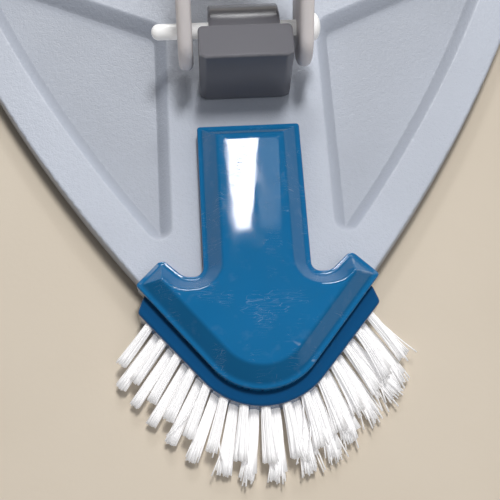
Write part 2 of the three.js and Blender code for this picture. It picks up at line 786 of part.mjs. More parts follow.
swivel.add(tilt);
head.add(swivel);

export default head;
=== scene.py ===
"""The looks of the triangular scrubber head: moulded plastic shells, brush filaments and hook tape."""

import json
import math
import random
import bmesh
import bpy
import numpy as np
from mathutils import Matrix, Vector
from mathutils.geometry import delaunay_2d_cdt


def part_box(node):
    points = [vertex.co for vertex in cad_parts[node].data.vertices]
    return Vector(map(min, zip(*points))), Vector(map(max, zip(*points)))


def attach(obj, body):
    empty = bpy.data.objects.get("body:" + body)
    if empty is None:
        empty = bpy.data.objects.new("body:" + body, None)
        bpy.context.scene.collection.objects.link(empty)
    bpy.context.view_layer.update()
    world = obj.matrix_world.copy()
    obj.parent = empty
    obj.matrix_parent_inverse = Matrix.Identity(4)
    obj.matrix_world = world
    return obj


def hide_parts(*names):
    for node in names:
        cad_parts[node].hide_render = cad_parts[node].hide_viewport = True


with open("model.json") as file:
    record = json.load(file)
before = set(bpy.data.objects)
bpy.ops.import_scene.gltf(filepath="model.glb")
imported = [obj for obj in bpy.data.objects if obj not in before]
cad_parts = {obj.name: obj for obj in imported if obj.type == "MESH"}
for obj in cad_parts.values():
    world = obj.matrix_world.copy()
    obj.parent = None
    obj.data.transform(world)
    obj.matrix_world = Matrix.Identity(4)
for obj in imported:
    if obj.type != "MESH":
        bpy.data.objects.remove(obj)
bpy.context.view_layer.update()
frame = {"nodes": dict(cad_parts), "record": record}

MM = 0.001
UP = Vector((0, 0, 1))

# ---- the frame's sizes, in millimetres ----


def box_mm(node):
    low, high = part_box(node)
    return np.array(low) / MM, np.array(high) / MM


def joint(name):
    return next(j for j in frame["record"]["behaviour"]["joints"] if j["name"] == name)


PLATE_LOW, PLATE_HIGH = box_mm("top_shell")
CAP_LOW, CAP_HIGH = box_mm("brush_cap")
BLOCK_LOW, BLOCK_HIGH = box_mm("brush_block")
KNUCKLE_LOW, KNUCKLE_HIGH = box_mm("knuckle")
PIN_LOW, PIN_HIGH = box_mm("fork_pin")
COVER_LOW, COVER_HIGH = box_mm("bottom_plate")
PIN_Z = joint("fork_tilt")["pos_m"][2] / MM
LEAN = math.radians(38)  # the fork leans back at rest

# Outline dimensions that the frame's boxes don't give.
SIDE_RADIUS = 416
FRONT_CORNER = (0, -100)
REAR_CORNER = (103, 72)
CORNER_RADIUS = 18
RIM = 10
SHELL_WALL = 2.2
ARM = 21.3
ARMS_CENTRE_Y = 27.5
REAR_ARM_ANGLE = math.radians(24)
PANEL_DEPTH = 4.3
PANEL_SLOPE = 4.4
PANEL_END_RADIUS = 3.9
RIGHT_PANEL_RADIUS = 7
REAR_PANEL_RADIUS = 12
NECK = 14
WING_PEAK = (24.6, -60.5)
NOTCH_END = (19.0, -65.75)
WING_CORNER = (31.5, -67.4)
FRONT_CENTRE_Y = -79.7
CAP_FRONT_RADIUS = 16.5
NOTCH_RADIUS = 3.6
CAP_LIP = 12.4
CAP_LEDGE = 0.7
CAP_BEVEL = 4.9  # from the ledge to the flat top
BLOCK_FRONT_RADIUS = 20
BLOCK_CORNER = (31.3, -74)
BRUSH_SCREWS = ("brush_screw_1", "brush_screw_2")

# ---- flat outlines: arrays of points, counter-clockwise, in millimetres ----


def arc(centre, radius, start, end, steps):
    angles = np.linspace(start, end, steps + 1)
    return np.stack([centre[0] + radius * np.cos(angles), centre[1] + radius * np.sin(angles)], 1)


def angle_from(centre, point):
    return math.atan2(point[1] - centre[1], point[0] - centre[0])


def nearest_turn(start, end):
    """The turn from one angle to another, at most half a circle either way."""
    return (end - start + math.pi) % (2 * math.pi) - math.pi


def resample(points, step):
    """The closed outline with points spaced evenly, about step apart."""
    closed = np.vstack([points, points[:1]])
    lengths = np.hypot(*np.diff(closed, axis=0).T)
    along = np.concatenate([[0], np.cumsum(lengths)])
    stations = np.linspace(0, along[-1], max(8, round(along[-1] / step)), endpoint=False)
    return np.stack([np.interp(stations, along, closed[:, k]) for k in (0, 1)], 1)


def rounded(points, radii):
    """A polygon with each corner replaced by an arc of its own radius."""
    points = np.array(points, float)
    made = []
    count = len(points)
    for i, radius in enumerate(radii):
        corner = points[i]
        before = points[i - 1] - corner
        after = points[(i + 1) % count] - corner
        room = 0.48 * min(np.hypot(*before), np.hypot(*after))
        before = before / np.hypot(*before)
        after = after / np.hypot(*after)
        half = math.acos(np.clip(before @ after, -1, 1)) / 2
        setback = min(radius / math.tan(half), room)
        if radius == 0 or half > 1.56:
            made.append(corner)
            continue
        size = setback * math.tan(half)
        bisector = (before + after) / np.hypot(*(before + after))
        centre = corner + bisector * size / math.sin(half)
        start = angle_from(centre, corner + before * setback)
        turn = nearest_turn(start, angle_from(centre, corner + after * setback))
        made.extend(arc(centre, size, start, start + turn, 8))
    return np.array(made)


def mirror(points):
    return np.array(points) * (-1, 1)


def symmetric(right):
    """A whole outline from its right half, which runs from the front to the back."""
    return np.vstack([right, mirror(right)[::-1]])


def turned_ccw(points):
    x, y = points.T
    area = np.sum(x * np.roll(y, -1) - np.roll(x, -1) * y)
    return points if area > 0 else points[::-1]


# ---- distances inside an outline, which give every bevel and rounded edge ----


def distance(points, outline):
    """How far each point is from the closed outline."""
    run = np.roll(outline, -1, 0) - outline
    offset = points[:, None, :] - outline[None]
    share = np.clip((offset * run).sum(-1) / (run * run).sum(-1), 0, 1)
    away = offset - share[..., None] * run
    return np.sqrt((away * away).sum(-1).min(1))


def slope(points, outline):
    """The direction in which the distance to the outline grows."""
    probe = 0.12
    dx = distance(points + (probe, 0), outline) - distance(points - (probe, 0), outline)
    dy = distance(points + (0, probe), outline) - distance(points - (0, probe), outline)
    return np.stack([dx, dy], 1) / (2 * probe)


def normals_in(outline):
    ahead = np.roll(outline, -1, 0) - np.roll(outline, 1, 0)
    ahead = ahead / np.hypot(*ahead.T)[:, None]
    return np.stack([-ahead[:, 1], ahead[:, 0]], 1)


def inset_rings(outline, insets):
    """The outline moved inward by each distance. Points that meet stay together, as on a hip."""
    inward = normals_in(outline)
    step = 0.2
    tiny = 0.05
    rings = []
    current = outline.copy()
    reached = 0.0
    for inset in insets:
        if inset <= tiny:
            rings.append(outline + inward * inset)
            continue
        while reached < inset - 1e-6:
            reached = min(inset, reached + step)
            if reached <= 2 * step:
                current = outline + inward * reached
            for _ in range(3):
                uphill = slope(current, outline)
                steep = np.maximum((uphill * uphill).sum(1), 0.3)
                short = reached - distance(current, outline)
                current = current + uphill * (short / steep)[:, None]
        rings.append(current.copy())
    return rings


def eased(share, soft):
    """A climb from 0 to 1: a straight slope with a rounding at each end."""
    share = np.clip(share, 0, 1)
    near = np.minimum(share, 1 - share)
    bend = np.where(near < soft, near * near / (2 * soft), near - soft / 2) / (1 - soft)
    return np.where(share < 0.5, bend, 1 - bend)


# ---- meshes ----


def flat_place(points, z):
    return np.column_stack([points, np.broadcast_to(z, len(points))])


def shade_smooth(mesh):
    mesh.polygons.foreach_set("use_smooth", [True] * len(mesh.polygons))


def link(name, bm, smooth=True):
    mesh = bpy.data.meshes.new(name)
    bm.to_mesh(mesh)
    bm.free()
    if smooth:
        shade_smooth(mesh)
    obj = bpy.data.objects.new(name, mesh)
    bpy.context.scene.collection.objects.link(obj)
    return obj


def add_ring(bm, ring):
    return [bm.verts.new(Vector(p) * MM) for p in ring]


def bridge(bm, lower, upper):
    count = len(lower)
    for i in range(count):
        j = (i + 1) % count
        bm.faces.new((lower[i], lower[j], upper[j], upper[i]))


def loft(rings, bm=None, ends=True):
    """A skin through rings of equally many points, closed at both ends."""
    bm = bm or bmesh.new()
    made = [add_ring(bm, ring) for ring in rings]
    for lower, upper in zip(made, made[1:]):
        bridge(bm, lower, upper)
    if ends:
        bm.faces.new(made[0][::-1])
        bm.faces.new(made[-1])
    return bm


def clean(bm, gap=0.015):
    bmesh.ops.remove_doubles(bm, verts=bm.verts, dist=gap * MM)
    bmesh.ops.dissolve_degenerate(bm, edges=bm.edges, dist=gap * MM / 3)
    big = [f for f in bm.faces if len(f.verts) > 4]
    bmesh.ops.triangulate(bm, faces=big, quad_method="BEAUTY", ngon_method="BEAUTY")
    bmesh.ops.recalc_face_normals(bm, faces=bm.faces)
    return bm


def keep_flats(obj):
    """Large flat faces keep their own normal next to a small rounding."""
    weigh = obj.modifiers.new("flats", "WEIGHTED_NORMAL")
    weigh.mode = "FACE_AREA"
    weigh.weight = 80
    weigh.keep_sharp = True
    return obj


def thinned(points, gap):
    """The points without those that share a small square with an earlier one."""
    cells = np.round(points[:, :2] / gap).astype(int)
    return points[np.sort(np.unique(cells, axis=0, return_index=True)[1])]


def relief(bm, edge, inner, gap=0.14):
    """Triangles over a closed edge of placed points and the placed points inside it."""
    inner = thinned(inner, gap)
    inner = inner[distance(inner[:, :2], edge[:, :2]) > gap * 0.8]
    spots = np.vstack([edge, inner])
    count = len(edge)
    loop = [(i, (i + 1) % count) for i in range(count)]
    flat, _, faces, sources, _, _ = delaunay_2d_cdt([Vector(p[:2]) for p in spots], loop, [], 1, 1e-6)
    verts = []
    for spot, source in zip(flat, sources):
        verts.append(bm.verts.new((spot.x * MM, spot.y * MM, spots[source[0]][2] * MM)))
    for face in faces:
        bm.faces.new([verts[i] for i in face])


def relief_points(outline, profile):
    """Points on level rings inside an outline, as high as the profile says at their distance."""
    insets, heights = np.array(profile).T
    rings = np.vstack(inset_rings(outline, [i for i in insets if i > 0]))
    return flat_place(rings, np.interp(distance(rings, outline), insets, heights))


def edge_round(radius, high, steps=4):
    """(inset, height) pairs of a quarter circle from a wall to a flat top."""
    pairs = []
    for i in range(steps + 1):
        a = i / steps * math.pi / 2
        pairs.append((radius * (1 - math.cos(a)), high - radius * (1 - math.sin(a))))
    return pairs


def edge_round_below(radius, low, steps=3):
    """(inset, height) pairs of a quarter circle from a flat underside to a wall."""
    pairs = []
    for i in range(steps + 1):
        a = i / steps * math.pi / 2
        pairs.append((radius * (1 - math.sin(a)), low + radius * (1 - math.cos(a))))
    return pairs


def placed_rings(outline, profile):
    """The outline once for each (inset, height) pair of a profile."""
    insets = sorted({round(inset, 5) for inset, _ in profile})
    rings = dict(zip(insets, inset_rings(outline, insets)))
    return [flat_place(rings[round(inset, 5)], z) for inset, z in profile]


def slab(outline, low, high, radius, base=None):
    """A slab with rounded edges above and below."""
    base = radius if base is None else base
    profile = edge_round_below(base, low) + edge_round(radius, high)
    return loft(placed_rings(outline, profile))


def lathe(profile, sides):
    """A solid of revolution about Z from (radius, z) pairs that start and end on the axis."""
    bm = bmesh.new()
    rings = []
    for radius, z in profile:
        if radius < 1e-6:
            rings.append([bm.verts.new((0, 0, z * MM))])
            continue
        spot = arc((0, 0), radius, 0, 2 * math.pi, sides)[:-1]
        rings.append(add_ring(bm, flat_place(spot, z)))
    for lower, upper in zip(rings, rings[1:]):
        for i in range(sides):
            j = (i + 1) % sides
            below = [lower[i % len(lower)], lower[j % len(lower)]]
            above = [upper[j % len(upper)], upper[i % len(upper)]]
            bm.faces.new(dict.fromkeys(below + above))
    return bm


def moved(bm, matrix):
    bmesh.ops.transform(bm, matrix=matrix, verts=bm.verts)
    return bm


def swap_axes(x_axis, y_axis, z_axis):
    return Matrix((x_axis, y_axis, z_axis)).transposed().to_4x4()


ALONG_X = swap_axes((0, 1, 0), (0, 0, 1), (1, 0, 0))  # drawn in (Y, Z), pulled along X
ALONG_Y = swap_axes((1, 0, 0), (0, 0, 1), (0, -1, 0))  # drawn in (X, Z), pulled along Y


def applied(obj):
    """The object with its modifiers made part of its mesh."""
    graph = bpy.context.evaluated_depsgraph_get()
    mesh = bpy.data.meshes.new_from_object(obj.evaluated_get(graph))
    obj.modifiers.clear()
    obj.data = mesh
    return obj


def combine(obj, other, operation):
    cut = obj.modifiers.new("combine", "BOOLEAN")
    cut.object = other
    cut.operation = operation
    cut.solver = "EXACT"
    applied(obj)
    bpy.data.objects.remove(other)
    return obj


def evened(obj, size, rounds):
    """The object in small even faces, with its joins and edges softened."""
    fine = obj.modifiers.new("even", "REMESH")
    fine.mode = "VOXEL"
    fine.voxel_size = size * MM
    soften = obj.modifiers.new("soften", "SMOOTH")
    soften.iterations = rounds
    applied(obj)
    shade_smooth(obj.data)
    return obj


# ---- materials ----


class Shader:
    """A material whose colour, roughness and bump come from noises in the object's own space."""

    def __init__(self, name, color, roughness, **fixed):
        self.material = bpy.data.materials.new(name)
        self.material.use_nodes = True
        self.tree = self.material.node_tree
        self.principled = self.tree.nodes["Principled BSDF"]
        self.principled.inputs["Base Color"].default_value = (*color, 1)
        self.principled.inputs["Roughness"].default_value = roughness
        for key, value in fixed.items():
            self.principled.inputs[key.replace("_", " ")].default_value = value
        self.space = self.node("ShaderNodeTexCoord").outputs["Object"]
        self.color = None
        self.base = color

    def node(self, kind, **values):
        made = self.tree.nodes.new(kind)
        for key, value in values.items():
            setattr(made, key, value)
        return made

    def join(self, source, target):
        self.tree.links.new(source, target)

    def scaled(self, scale, turn=(0, 0, 0)):
        mapping = self.node("ShaderNodeMapping")
        mapping.inputs["Scale"].default_value = scale
        mapping.inputs["Rotation"].default_value = turn
        self.join(self.space, mapping.inputs["Vector"])
        return mapping.outputs["Vector"]

    def noise(self, size_mm, detail=3, stretch=(1, 1, 1), turn=(0, 0, 0)):
        made = self.node("ShaderNodeTexNoise")
        made.inputs["Scale"].default_value = 1.0
        made.inputs["Detail"].default_value = detail
        scale = [1 / (size_mm * MM * s) for s in stretch]
        self.join(self.scaled(scale, turn), made.inputs["Vector"])
        return made.outputs["Fac"]

    def cells(self, size_mm, feature="F1", stretch=(1, 1, 1), turn=(0, 0, 0)):
        made = self.node("ShaderNodeTexVoronoi", feature=feature)
        made.inputs["Scale"].default_value = 1.0
        scale = [1 / (size_mm * MM * s) for s in stretch]
        self.join(self.scaled(scale, turn), made.inputs["Vector"])
        return made.outputs["Distance"]

    def height_mm(self):
        apart = self.node("ShaderNodeSeparateXYZ")
        self.join(self.space, apart.inputs["Vector"])
        return self.maths("DIVIDE", apart.outputs["Z"], MM)

    def spread(self, value, low, high, to_low=0.0, to_high=1.0):
        made = self.node("ShaderNodeMapRange")
        made.inputs["From Min"].default_value = low
        made.inputs["From Max"].default_value = high
        made.inputs["To Min"].default_value = to_low
        made.inputs["To Max"].default_value = to_high
        self.join(value, made.inputs["Value"])
        return made.outputs["Result"]

    def maths(self, operation, first, second):
        made = self.node("ShaderNodeMath", operation=operation)
        for socket, value in zip(made.inputs, (first, second)):
            if isinstance(value, (int, float)):
                socket.default_value = value
            else:
                self.join(value, socket)
        return made.outputs["Value"]

    def tint(self, mask, color):
        """Blends the colour towards another where the mask is 1."""
        mix = self.node("ShaderNodeMix", data_type="RGBA")
        self.join(mask, mix.inputs["Factor"])
        if self.color:
            self.join(self.color, mix.inputs["A"])
        else:
            mix.inputs["A"].default_value = (*self.base, 1)
        mix.inputs["B"].default_value = (*color, 1)
        self.color = mix.outputs["Result"]
        self.join(self.color, self.principled.inputs["Base Color"])

    def rough(self, value):
        self.join(value, self.principled.inputs["Roughness"])

    def bump(self, *layers):
        """Each layer is a height and how deep it is, in millimetres."""
        normal = None
        for height, depth in layers:
            made = self.node("ShaderNodeBump")
            made.inputs["Distance"].default_value = depth * MM
            self.join(height, made.inputs["Height"])
            if normal:
                self.join(normal, made.inputs["Normal"])
            normal = made.outputs["Normal"]
        self.join(normal, self.principled.inputs["Normal"])

    def edge_wear_and_highlight(self, color, low=0.53, high=0.6):
        """Paler convex edges: partly rubbed wear, partly a painted highlight along the edges."""
        pointed = self.node("ShaderNodeNewGeometry").outputs["Pointiness"]
        patchy = self.noise(4, 4)
        edge = self.maths("MULTIPLY", self.spread(pointed, low, high), self.spread(patchy, 0.35, 0.7))
        self.tint(edge, color)


def rgb(red, green, blue):
    """A linear colour from 8-bit display values."""
    def linear(value):
        value = value / 255
        return value / 12.92 if value <= 0.04045 else ((value + 0.055) / 1.055) ** 2.4
    return tuple(linear(v) for v in (red, green, blue))


def plate_plastic(name, color):
    shader = Shader(name, color, 0.5, Specular_IOR_Level=0.45)
    # Painted shade: the colour darkens below the rim, into the sunken panels and down their walls.
    painted_recess_shade = shader.spread(shader.height_mm(), PLATE_HIGH[2] - 0.8, PLATE_HIGH[2] - PANEL_DEPTH, 0, 0.7)
    shader.tint(painted_recess_shade, tuple(c * 0.62 for c in color))
    fine = shader.noise(0.42, 2)
    grain = shader.noise(1.1, 3)
    cloudy = shader.noise(35, 3)
    darker = tuple(c * 0.86 for c in color)
    shader.tint(shader.spread(cloudy, 0.4, 0.75, 0, 0.6), darker)
    shader.tint(shader.spread(grain, 0.52, 0.75, 0, 0.35), tuple(c * 0.9 for c in color))
    specks = shader.cells(7.5)
    shader.tint(shader.spread(specks, 0.025, 0.015, 0, 0.3), tuple(c * 0.5 for c in color))
    # Paler edges: partly wear, partly a painted highlight.
    shader.edge_wear_and_highlight(tuple(min(1, c * 1.15) for c in color))
    shader.rough(shader.spread(grain, 0.3, 0.7, 0.42, 0.6))
    shader.bump((cloudy, 0.12), (grain, 0.13), (fine, 0.11))
    return shader.material


def scratches(shader, size_mm, turn, thin):
    """Thin straight lines in one direction, in patches."""
    line = shader.cells(size_mm, "DISTANCE_TO_EDGE", (1, 0.12, 1), (0, 0, turn))
    patch = shader.noise(9, 2, (1, 1, 1), (0, 0, turn))
    marks = shader.spread(line, thin, thin * 0.3)
    return shader.maths("MULTIPLY", marks, shader.spread(patch, 0.58, 0.66))


def blue_plastic(name, color, scratched):
    shader = Shader(name, color, 0.1)
    cloudy = shader.noise(18, 3)
    smear = shader.noise(5, 4, (1, 3, 1))
    shader.tint(shader.spread(cloudy, 0.35, 0.7, 0, 0.35), tuple(c * 0.82 for c in color))
    pale = tuple(c + (0.75 - c) * 0.3 for c in color)
    roughness = shader.spread(smear, 0.45, 0.8, 0.02, 0.09)
    if scratched:
        first = scratches(shader, 5.5, 0.5, 0.012)
        second = scratches(shader, 4.2, -0.9, 0.012)
        third = scratches(shader, 6.5, 1.45, 0.01)
        marks = shader.maths("MAXIMUM", shader.maths("MAXIMUM", first, second), third)
        rubbed = shader.spread(shader.noise(3.2, 5), 0.58, 0.76, 0, 0.3)
        shader.tint(rubbed, tuple(c + (0.6 - c) * 0.12 for c in color))
        shader.tint(shader.maths("MULTIPLY", marks, 0.7), pale)
        roughness = shader.maths("MAXIMUM", roughness, shader.maths("MULTIPLY", marks, 0.55))
        shader.bump((shader.noise(16, 2), 0.02), (marks, -0.008))
    else:
        shader.bump((shader.noise(10, 2), 0.12), (shader.noise(0.6, 2), 0.008))
    # Paler edges: partly wear, partly a painted highlight.
    shader.edge_wear_and_highlight(pale, 0.55, 0.64)
    shader.rough(roughness)
    return shader.material


def satin_plastic(name, color, roughness, mottle=0.5, edge_highlight_gain=1.5, glow=0.0):
    # The emission is painted light: the part glows a little to brighten it.
    shader = Shader(name, color, roughness, Emission_Color=(1, 1, 1, 1), Emission_Strength=glow)
    cloudy = shader.noise(12, 3)
    grain = shader.noise(0.5, 2)
    shader.tint(shader.spread(cloudy, 0.35, 0.7, 0, mottle), tuple(c * 0.88 for c in color))
    shader.rough(shader.spread(cloudy, 0.3, 0.7, roughness - 0.14 * mottle, roughness + 0.2 * mottle))
    # Paler edges, partly wear and partly a painted highlight; the knuckle's larger gain is mostly painted
    # highlight.
    shader.edge_wear_and_highlight(tuple(min(1, c * edge_highlight_gain + 0.06) for c in color), 0.52, 0.58)
    shader.bump((cloudy, 0.02), (grain, 0.012))
    return shader.material


def filament_plastic(name, color):
    # The emission is painted light: it lifts the shade between filaments and brightens the tufts.
    shader = Shader(name, color, 0.35, Emission_Color=(1, 1, 1, 1), Emission_Strength=0.14)
    streak = shader.noise(1.4, 3)
    shader.tint(shader.spread(streak, 0.4, 0.7, 0, 0.5), tuple(c * 0.9 for c in color))
    shader.rough(shader.spread(streak, 0.3, 0.7, 0.28, 0.45))
    shader.bump((shader.noise(0.3, 2), 0.01))
    return shader.material


def hook_tape(name, color):
    shader = Shader(name, color, 0.85)
    weave = shader.noise(0.35, 2, (1, 0.4, 1))
    shader.tint(shader.spread(weave, 0.4, 0.65), tuple(c * 2.2 for c in color))
    shader.bump((weave, 0.15))
    return shader.material


def zinc(name, color):
    shader = Shader(name, color, 0.3, Metallic=1.0)
    brushed = shader.noise(0.3, 3)
    shader.tint(shader.spread(shader.noise(2.5, 4), 0.45, 0.75), tuple(c * 0.6 for c in color))
    shader.rough(shader.spread(brushed, 0.3, 0.7, 0.22, 0.42))
    shader.bump((brushed, 0.01))
    return shader.material


def floor_paint():
    shader = Shader("pale_floor", rgb(205, 194, 178), 0.6)
    shader.tint(shader.spread(shader.noise(60, 4), 0.4, 0.7, 0, 0.4), rgb(196, 184, 167))
    shader.bump((shader.noise(1.5, 4), 0.03))
    return shader.material


PLATE = plate_plastic("plate_grey", rgb(186, 192, 204))
COVER = plate_plastic("cover_grey", rgb(158, 166, 176))
CAP_BLUE = blue_plastic("cap_blue", rgb(20, 103, 155), scratched=True)
BLOCK_BLUE = blue_plastic("block_blue", rgb(14, 76, 124), scratched=False)
KNUCKLE_GREY = satin_plastic("knuckle_grey", rgb(112, 112, 118), 0.24, mottle=0.12, edge_highlight_gain=1.9)
FORK_WHITE = satin_plastic("fork_white", rgb(245, 239, 239), 0.36)
# The pin's glow is painted light that brightens it.
PIN_WHITE = satin_plastic("pin_white", rgb(249, 249, 249), 0.32, mottle=0.3, glow=0.16)
BRISTLE = filament_plastic("bristle_white", rgb(247, 246, 247))
HOOK = hook_tape("hook_black", rgb(44, 46, 50))
STEEL = zinc("screw_steel", rgb(190, 192, 196))


def dress(mesh, material):
    """The mesh wears this material and no other."""
    mesh.materials.clear()
    mesh.materials.append(material)


def finish_piece(obj, material, body, node):
    dress(obj.data, material)
    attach(obj, body)
    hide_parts(node)
    return obj


def node_points(node):
    """The corners of a CAD node's mesh, in millimetres."""
    mesh = frame["nodes"][node].data
    spots = np.empty(len(mesh.vertices) * 3)
    mesh.vertices.foreach_get("co", spots)
    return spots.reshape(-1, 3) / MM


# ---- plate ----


def side_centre(start, end):
    """The centre of the plate's side arc between two corners."""
    start, end = np.array(start, float), np.array(end, float)
    chord = end - start
    height = math.sqrt(SIDE_RADIUS**2 - chord @ chord / 4)
    return (start + end) / 2 + np.array([-chord[1], chord[0]]) / np.hypot(*chord) * height


RIGHT_CENTRE = side_centre(FRONT_CORNER, REAR_CORNER)
REAR_CENTRE = side_centre(REAR_CORNER, mirror(REAR_CORNER))


def side_reach(centre, radius, point, direction):
    """Where a ray from a point meets a side's circle."""
    offset = np.array(point) - centre
    along = offset @ direction
    return np.array(point) + direction * (-along + math.sqrt(along**2 - offset @ offset + radius**2))


def plate_half(inset):
    """The plate's right half, from its cut-off nose to the middle of its rear edge."""
    radius = SIDE_RADIUS - inset
    middle = (RIGHT_CENTRE + REAR_CENTRE) / 2
    span = REAR_CENTRE - RIGHT_CENTRE
    height = math.sqrt((SIDE_RADIUS - CORNER_RADIUS) ** 2 - span @ span / 4)
    corner = middle + np.array([-span[1], span[0]]) / np.hypot(*span) * height
    nose_y = PLATE_LOW[1] + inset
    nose_x = RIGHT_CENTRE[0] + math.sqrt(radius**2 - (nose_y - RIGHT_CENTRE[1]) ** 2)
    first = angle_from(RIGHT_CENTRE, corner)
    second = angle_from(REAR_CENTRE, corner)
    side = arc(RIGHT_CENTRE, radius, angle_from(RIGHT_CENTRE, (nose_x, nose_y)), first, 60)
    turn = arc(corner, CORNER_RADIUS - inset, first, second, 20)
    rear = arc(REAR_CENTRE, radius, second, math.pi / 2, 30)
    return np.vstack([[(0, nose_y)], side[:-1], turn, rear[1:]])


REAR_ARM = np.array([math.cos(REAR_ARM_ANGLE), math.sin(REAR_ARM_ANGLE)])
INTO_PANEL = np.array([REAR_ARM[1], -REAR_ARM[0]])  # from the right rear arm into the right panel


def panel_corner(start, along, inward, centre):
    """The arc that leads from a straight wall into a side's wall."""
    size = PANEL_END_RADIUS
    radius = SIDE_RADIUS - RIM
    middle = side_reach(centre, radius - size, start + inward * size, along)
    touch = centre + (middle - centre) * radius / (radius - size)
    first = angle_from(middle, middle - inward * size)
    return arc(middle, size, first, first + nearest_turn(first, angle_from(middle, touch)), 14)


def panel_outline(inner, inner_size, centre, walls):
    """A panel's top edge: two straight walls that meet at an inner corner, and a side's wall."""
    first, second = [panel_corner(inner, along, inward, centre) for along, inward in walls]
    ends = [angle_from(centre, corner[-1]) for corner in (first, second)]
    side = arc(centre, SIDE_RADIUS - RIM, *ends, 60)
    bend = rounded([inner, first[0], second[0]], [inner_size, 0, 0])[:-2]
    return turned_ccw(resample(np.vstack([bend, first, side[1:-1], second[::-1]]), 0.8))


def right_panel():
    inner_y = ARMS_CENTRE_Y + ARM * math.tan(REAR_ARM_ANGLE) - ARM / math.cos(REAR_ARM_ANGLE)
    walls = [(np.array([0, -1]), np.array([1, 0])), (REAR_ARM, INTO_PANEL)]
    return panel_outline(np.array([ARM, inner_y]), RIGHT_PANEL_RADIUS, RIGHT_CENTRE, walls)


def rear_panel():
    inner = np.array([0, ARMS_CENTRE_Y + ARM / math.cos(REAR_ARM_ANGLE)])
    walls = [(REAR_ARM, -INTO_PANEL), (REAR_ARM * (-1, 1), -INTO_PANEL * (-1, 1))]
    return panel_outline(inner, REAR_PANEL_RADIUS, REAR_CENTRE, walls)


def panel_drop(inset):
    """How far a panel's surface lies below the rim."""
    return PANEL_DEPTH * eased(inset / PANEL_SLOPE, 0.22)


def make_top_shell():
    top = PLATE_HIGH[2]
    outline = turned_ccw(resample(symmetric(plate_half(0)), 1.2))
    wall = SHELL_WALL
    cover = COVER_HIGH[2] + 0.3
    under = [(wall + 0.4, cover), (wall, cover), (wall, PLATE_LOW[2] + 0.3), (wall - 0.3, PLATE_LOW[2])]
    under += edge_round_below(0.5, PLATE_LOW[2])
    rim = edge_round(0.9, top, 5)
    bm = loft(placed_rings(outline, under) + [flat_place(outline, rim[0][1])], ends=False)
    bm.verts.ensure_lookup_table()
    bm.faces.new([bm.verts[i] for i in range(len(outline))][::-1])
    drops = [(d, top - panel_drop(d)) for d in np.linspace(0, PANEL_SLOPE, 15)]
    inner = [relief_points(outline, rim)]
    right = right_panel()
    for panel in (right, turned_ccw(mirror(right)), rear_panel()):
        inner += [flat_place(panel, top), relief_points(panel, drops)]
    relief(bm, flat_place(outline, rim[0][1]), np.vstack(inner), 0.2)
    obj = keep_flats(link("plate_top", clean(bm)))
    return finish_piece(obj, PLATE, "head", "top_shell")


# ---- brush cap and block ----


def touch_angle(corner, radius):
    """The angle at which a straight line from a corner touches the front's round end."""
    centre = (0, FRONT_CENTRE_Y)
    reach = math.dist(corner, centre)
    return angle_from(centre, corner) - math.acos(radius / reach)


def cap_outline():
    """A neck that curls through a notch into a wing, then runs to the rounded front."""
    touch = touch_angle(WING_CORNER, CAP_FRONT_RADIUS)
    front = arc((0, FRONT_CENTRE_Y), CAP_FRONT_RADIUS, -math.pi / 2, touch, 24)
    notch = [NOTCH_END, (NECK, NOTCH_END[1])]
    corners = [front[-1], WING_CORNER, WING_PEAK, *notch, (NECK, CAP_HIGH[1]), (0, CAP_HIGH[1])]
    half = rounded(corners, [0, 0.8, 1.8, NOTCH_RADIUS, NOTCH_RADIUS, 0.8, 0])
    return turned_ccw(resample(symmetric(np.vstack([front[:-1], half])), 0.42))


def make_cap():
    top = CAP_HIGH[2]
    outline = cap_outline()
    wall_low = np.where(outline[:, 1] < BLOCK_HIGH[1] - 0.2, BLOCK_HIGH[2] + 0.3, CAP_LOW[2])
    profile = edge_round(0.4, CAP_LIP, 3) + [(CAP_LEDGE, CAP_LIP)]
    for share in np.linspace(0, 1, 24)[1:]:
        profile.append((CAP_LEDGE + CAP_BEVEL * share, CAP_LIP + (top - CAP_LIP) * eased(share, 0.2)))
    profile.append((CAP_LEDGE + CAP_BEVEL + 1.5, top))
    edge = flat_place(outline, profile[0][1])
    bm = loft([flat_place(outline, wall_low), edge], ends=False)
    bm.verts.ensure_lookup_table()
    bm.faces.new([bm.verts[i] for i in range(len(outline))][::-1])
    relief(bm, edge, relief_points(outline, profile))
    obj = keep_flats(link("cap_shell", clean(bm)))
    return finish_piece(obj, CAP_BLUE, "head", "brush_cap")


def screw_recess(node):
    """The hole that a screw's head sits in, open from below."""
    low, high = box_mm(node)
    radius = (high[0] - low[0]) / 2 + 0.4
    mouth, end = low[2] - 3, low[2] + 1.3
    bm = clean(lathe([(0, mouth), (radius, mouth), (radius, end), (0, end)], 40))
    x, y = (low[:2] + high[:2]) / 2
    return moved(bm, Matrix.Translation((x * MM, y * MM, 0)))


def make_block():
    touch = touch_angle(BLOCK_CORNER, BLOCK_FRONT_RADIUS)
    front = arc((0, FRONT_CENTRE_Y), BLOCK_FRONT_RADIUS, -math.pi / 2, touch, 24)
    rear_x = BLOCK_CORNER[0] - 1.6
    corners = [front[-1], BLOCK_CORNER, (rear_x, BLOCK_HIGH[1]), (0, BLOCK_HIGH[1])]
    half = rounded(corners, [0, 1.2, 0.8, 0])
    outline = turned_ccw(resample(symmetric(np.vstack([front[:-1], half])), 0.6))
    block = link("brush_base", clean(slab(outline, BLOCK_LOW[2], BLOCK_HIGH[2], 0.7, 0.5)))
    for node in BRUSH_SCREWS:
        combine(block, link("recess", screw_recess(node)), "DIFFERENCE")
    shade_smooth(block.data)
    return finish_piece(keep_flats(block), BLOCK_BLUE, "head", "brush_block")


# ---- tufts ----


